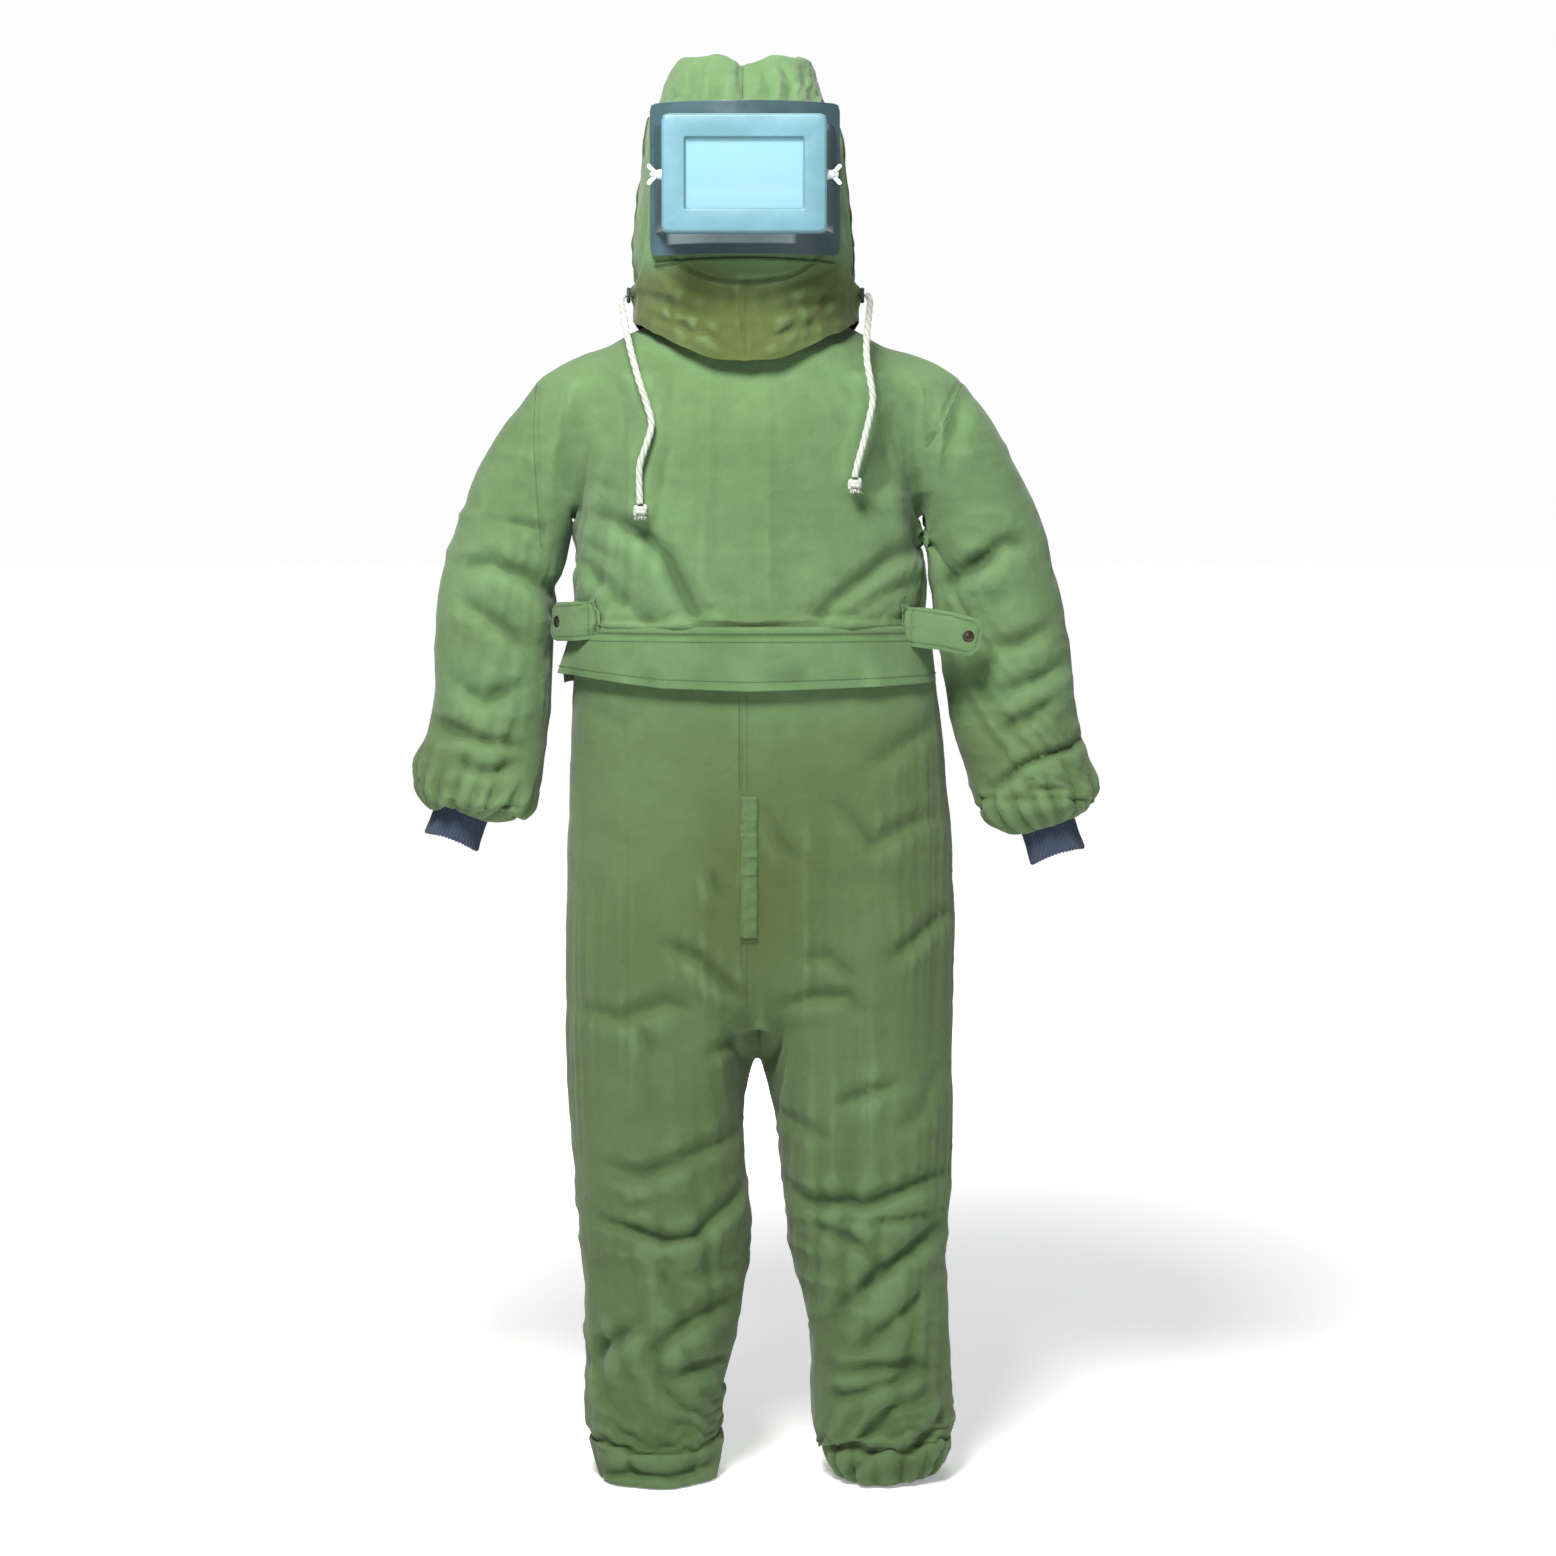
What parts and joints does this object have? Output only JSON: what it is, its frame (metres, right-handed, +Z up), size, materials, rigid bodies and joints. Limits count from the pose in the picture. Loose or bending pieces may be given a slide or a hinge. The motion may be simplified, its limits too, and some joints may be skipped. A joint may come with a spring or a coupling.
{
  "type": "hooded protective suit",
  "caption": "One-piece canvas protective suit: a hood with a removable hard window, gathered sleeves with knitted cuffs, a hem flap with waist tabs, and trousers with a front placket.",
  "frame": {"origin": "between the wearer's shoulders, in the middle of the yoke, 1450 mm above the soles", "axes": "+Z up, -Y towards the front of the suit, +X towards the wearer's left"},
  "size_m": [0.8457, 0.35, 1.7828],
  "materials": {
    "green_canvas": "woven, matt",
    "navy_knit": "matt",
    "elastic_band": "woven, matt",
    "teal_plastic": "moulded, glossy",
    "pale_teal_plastic": "moulded, glossy",
    "clear_lens": "polished, clear",
    "black_rubber": "matt",
    "zinc_steel": "bright",
    "dark_brass": "satin",
    "white_cotton": "twisted, matt"
  },
  "bodies": {
    "torso": {"bodice_front": "green_canvas", "bodice_back": "green_canvas", "jacket_hem_front": "green_canvas", "jacket_hem_back": "green_canvas", "trouser_front_right": "green_canvas", "trouser_front_left": "green_canvas", "seat_right": "green_canvas", "seat_left": "green_canvas", "fly_placket": "green_canvas", "neck_collar": "green_canvas", "right_cord_eyelet": "black_rubber", "left_cord_eyelet": "black_rubber", "right_drawcord": "white_cotton", "right_cord_knot": "white_cotton", "left_drawcord": "white_cotton", "left_cord_knot": "white_cotton", "right_tab_stud": "dark_brass", "left_tab_stud": "dark_brass"},
    "hood": {"hood_front": "green_canvas", "chin_panel": "green_canvas", "hood_back": "green_canvas", "hood_crown": "green_canvas", "visor_shell": "teal_plastic", "window_glass": "clear_lens", "glass_seal": "black_rubber", "right_clamp_bolt": "zinc_steel", "left_clamp_bolt": "zinc_steel", "right_clamp_washer": "zinc_steel", "left_clamp_washer": "zinc_steel"},
    "bezel": {"window_bezel": "pale_teal_plastic"},
    "right_wing_nut": {"right_wing_nut": "zinc_steel"},
    "left_wing_nut": {"left_wing_nut": "zinc_steel"},
    "right_sleeve": {"right_sleeve_front": "green_canvas", "right_sleeve_back": "green_canvas", "right_sleeve_gather": "green_canvas", "right_wrist_elastic": "elastic_band", "right_knit_cuff": "navy_knit"},
    "left_sleeve": {"left_sleeve_front": "green_canvas", "left_sleeve_back": "green_canvas", "left_sleeve_gather": "green_canvas", "left_wrist_elastic": "elastic_band", "left_knit_cuff": "navy_knit"},
    "right_thigh": {"right_thigh_front": "green_canvas", "right_thigh_back": "green_canvas"},
    "left_thigh": {"left_thigh_front": "green_canvas", "left_thigh_back": "green_canvas"},
    "right_shin": {"right_shin_front": "green_canvas", "right_shin_back": "green_canvas", "right_ankle_hem": "green_canvas", "right_ankle_elastic": "elastic_band"},
    "left_shin": {"left_shin_front": "green_canvas", "left_shin_back": "green_canvas", "left_ankle_hem": "green_canvas", "left_ankle_elastic": "elastic_band"},
    "right_waist_tab": {"right_waist_tab": "green_canvas", "right_tab_snap": "dark_brass"},
    "left_waist_tab": {"left_waist_tab": "green_canvas", "left_tab_snap": "dark_brass"}
  },
  "joints": [
    {"name": "hood_nod", "type": "hinge", "parent": "torso", "child": "hood", "pos_m": [0, 0, 0.05], "axis": [1, 0, 0], "range_deg": [-12, 14]},
    {"name": "bezel_lift_off", "type": "slide", "parent": "hood", "child": "bezel", "axis": [0, -1, 0], "range_m": [0, 0.03]},
    {"name": "right_wing_nut_turn", "type": "hinge", "parent": "hood", "child": "right_wing_nut", "pos_m": [-0.1, -0.1875, 0.18], "axis": [-1, 0, 0], "continuous": true},
    {"name": "left_wing_nut_turn", "type": "hinge", "parent": "hood", "child": "left_wing_nut", "pos_m": [0.1, -0.1875, 0.18], "axis": [1, 0, 0], "continuous": true},
    {"name": "right_shoulder_raise", "type": "hinge", "parent": "torso", "child": "right_sleeve", "pos_m": [-0.165, 0, -0.005], "axis": [0, 1, 0], "range_deg": [0, 50]},
    {"name": "left_shoulder_raise", "type": "hinge", "parent": "torso", "child": "left_sleeve", "pos_m": [0.165, 0, -0.005], "axis": [0, -1, 0], "range_deg": [0, 50]},
    {"name": "right_hip_swing", "type": "hinge", "parent": "torso", "child": "right_thigh", "pos_m": [-0.107, 0.004, -0.82], "axis": [-1, 0, 0], "range_deg": [-20, 45]},
    {"name": "left_hip_swing", "type": "hinge", "parent": "torso", "child": "left_thigh", "pos_m": [0.133, 0.004, -0.82], "axis": [-1, 0, 0], "range_deg": [-20, 45]},
    {"name": "right_knee_bend", "type": "hinge", "parent": "right_thigh", "child": "right_shin", "pos_m": [-0.102, 0.002, -1.11], "axis": [1, 0, 0], "range_deg": [0, 65]},
    {"name": "left_knee_bend", "type": "hinge", "parent": "left_thigh", "child": "left_shin", "pos_m": [0.149, 0.002, -1.11], "axis": [1, 0, 0], "range_deg": [0, 65]},
    {"name": "right_waist_tab_fold", "type": "hinge", "parent": "torso", "child": "right_waist_tab", "pos_m": [-0.2, -0.101, -0.353], "axis": [0, 0, 1], "range_deg": [-6, 3]},
    {"name": "left_waist_tab_fold", "type": "hinge", "parent": "torso", "child": "left_waist_tab", "pos_m": [0.214, -0.095, -0.357], "axis": [0, 0, 1], "range_deg": [-75, 8]}
  ]
}
